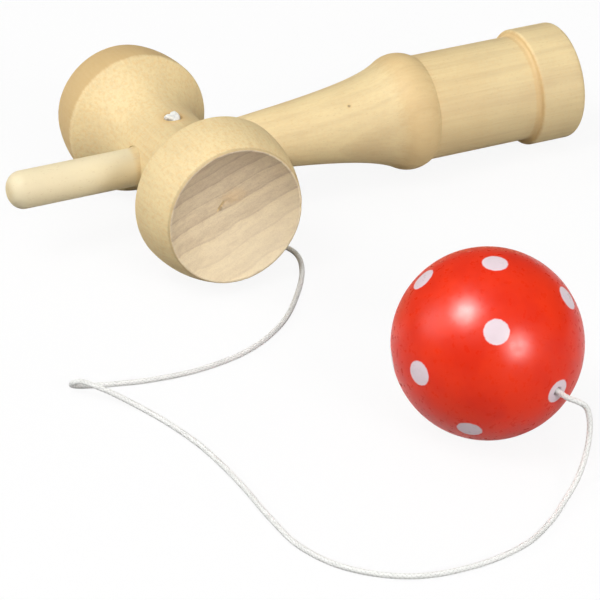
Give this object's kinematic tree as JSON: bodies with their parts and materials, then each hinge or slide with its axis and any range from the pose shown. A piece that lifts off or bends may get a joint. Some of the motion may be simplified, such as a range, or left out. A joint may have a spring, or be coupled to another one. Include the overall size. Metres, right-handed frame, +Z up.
{
  "type": "cup and ball toy",
  "caption": "Turned wooden cup and ball toy: a handle with a spike and a base cup, a cross piece with a large and a small cup, and a drilled ball tethered by a string.",
  "frame": {"origin": "on the floor under the middle of the box round the handle, cross piece and ball, lying at rest", "axes": "+Z up, +X along the handle from the spike to the base as seen from above, -Y the way the large cup faces"},
  "size_m": [0.1924, 0.2407, 0.051],
  "materials": {
    "handle_wood": "fine sanded, unvarnished pale hardwood",
    "cup_wood": "fine sanded, unvarnished pale hardwood with open pores",
    "red_paint": "gloss paint with white dots on wood",
    "string": "braided white cotton cord",
    "bead_wood": "plain turned wood"
  },
  "bodies": {
    "toy": {"handle": "handle_wood", "cross_piece": "cup_wood", "upper_knot": "string"},
    "string_root": {"string_inner": "string"},
    "string_run": {"string_middle": "string"},
    "string_end": {"string_outer": "string", "bead": "bead_wood", "lower_knot": "string"},
    "ball": {"ball": "red_paint"}
  },
  "joints": [
    {"name": "string_swivel", "type": "hinge", "parent": "toy", "child": "string_root", "pos_m": [-0.0385, 0.0615, 0.0093], "axis": [0, 0, 1], "range_deg": [-15, 30]},
    {"name": "string_fold", "type": "hinge", "parent": "string_root", "child": "string_run", "pos_m": [-0.066, -0.0164, 0.0008], "axis": [0, 0, 1], "range_deg": [-40, 30]},
    {"name": "ball_lift", "type": "hinge", "parent": "string_run", "child": "string_end", "pos_m": [-0.0794, -0.078, 0.0008], "axis": [0, -1, 0], "range_deg": [0, 60]},
    {"name": "ball_spin", "type": "hinge", "parent": "string_end", "child": "ball", "pos_m": [-0.009, -0.0775, 0.0255], "axis": [0.3052, -0.9393, -0.1564], "continuous": true}
  ]
}
